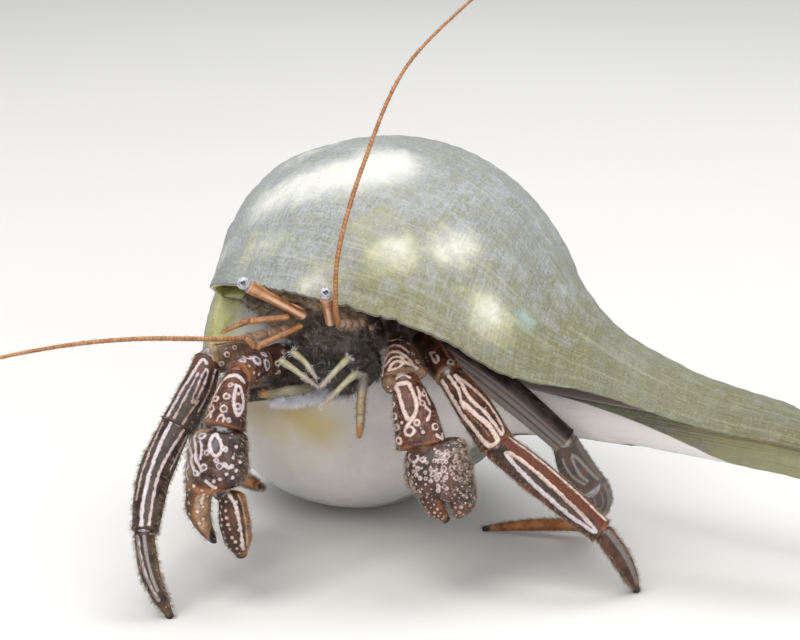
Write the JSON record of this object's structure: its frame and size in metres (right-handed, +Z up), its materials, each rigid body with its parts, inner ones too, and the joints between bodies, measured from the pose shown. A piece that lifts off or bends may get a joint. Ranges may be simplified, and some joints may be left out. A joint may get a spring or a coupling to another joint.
{
  "type": "hermit crab in a whelk shell",
  "caption": "Hermit crab reaching out of its pear whelk shell, a still life-size model that rests on its shell and its walking legs.",
  "frame": {"origin": "centre of the small flat under the shell's round body, on the floor", "axes": "+X towards the tip of the shell's canal, +Z up; the crab comes out of the shell on the -Y side and looks towards -X and -Y"},
  "size_m": [0.148, 0.0837, 0.0922],
  "materials": {
    "shell": "weathered, slightly glossy calcium shell",
    "crab_brown": "glossy hard skin, mahogany with cream stripes",
    "crab_orange": "glossy hard skin, orange brown",
    "crab_dark": "dark hard skin in the shade of the mouth",
    "crab_tan": "hard skin, tan and brown",
    "crab_palp": "pale yellow-green mouth parts",
    "crab_soft": "soft skin of the hind body",
    "eye": "wet, pale lilac cornea"
  },
  "bodies": {
    "root": {"abdomen": "crab_soft", "antenna_base_left": "crab_orange", "antenna_base_right": "crab_orange", "antenna_left": "crab_orange", "antenna_right": "crab_orange", "antennule_left": "crab_orange", "antennule_right": "crab_orange", "carapace_rear": "crab_soft", "carapace_shield": "crab_tan", "claw_left_carpus": "crab_brown", "claw_left_finger": "crab_orange", "claw_left_merus": "crab_brown", "claw_left_palm": "crab_brown", "claw_right_carpus": "crab_brown", "claw_right_finger": "crab_orange", "claw_right_ischium": "crab_dark", "claw_right_merus": "crab_brown", "claw_right_palm": "crab_brown", "eye_left": "eye", "eye_right": "eye", "eyestalk_left": "crab_orange", "eyestalk_right": "crab_orange", "leg_2_left_carpus": "crab_brown", "leg_2_left_dactyl": "crab_brown", "leg_2_left_merus": "crab_brown", "leg_2_left_propodus": "crab_brown", "leg_2_right_carpus": "crab_brown", "leg_2_right_dactyl": "crab_brown", "leg_2_right_ischium": "crab_dark", "leg_2_right_merus": "crab_brown", "leg_2_right_propodus": "crab_brown", "leg_3_left_carpus": "crab_brown", "leg_3_left_dactyl": "crab_orange", "leg_3_left_merus": "crab_brown", "leg_3_left_propodus": "crab_brown", "leg_3_right_carpus": "crab_brown", "leg_3_right_dactyl": "crab_orange", "leg_3_right_merus": "crab_brown", "leg_3_right_propodus": "crab_brown", "leg_4_left": "crab_brown", "leg_4_right": "crab_brown", "maxilliped_left": "crab_palp", "maxilliped_right": "crab_palp", "palp_inner_left": "crab_palp", "palp_inner_right": "crab_palp", "palp_outer_left": "crab_palp", "palp_outer_right": "crab_palp", "shell": "shell", "tail_fan": "crab_tan", "thorax": "crab_dark"}
  },
  "joints": []
}
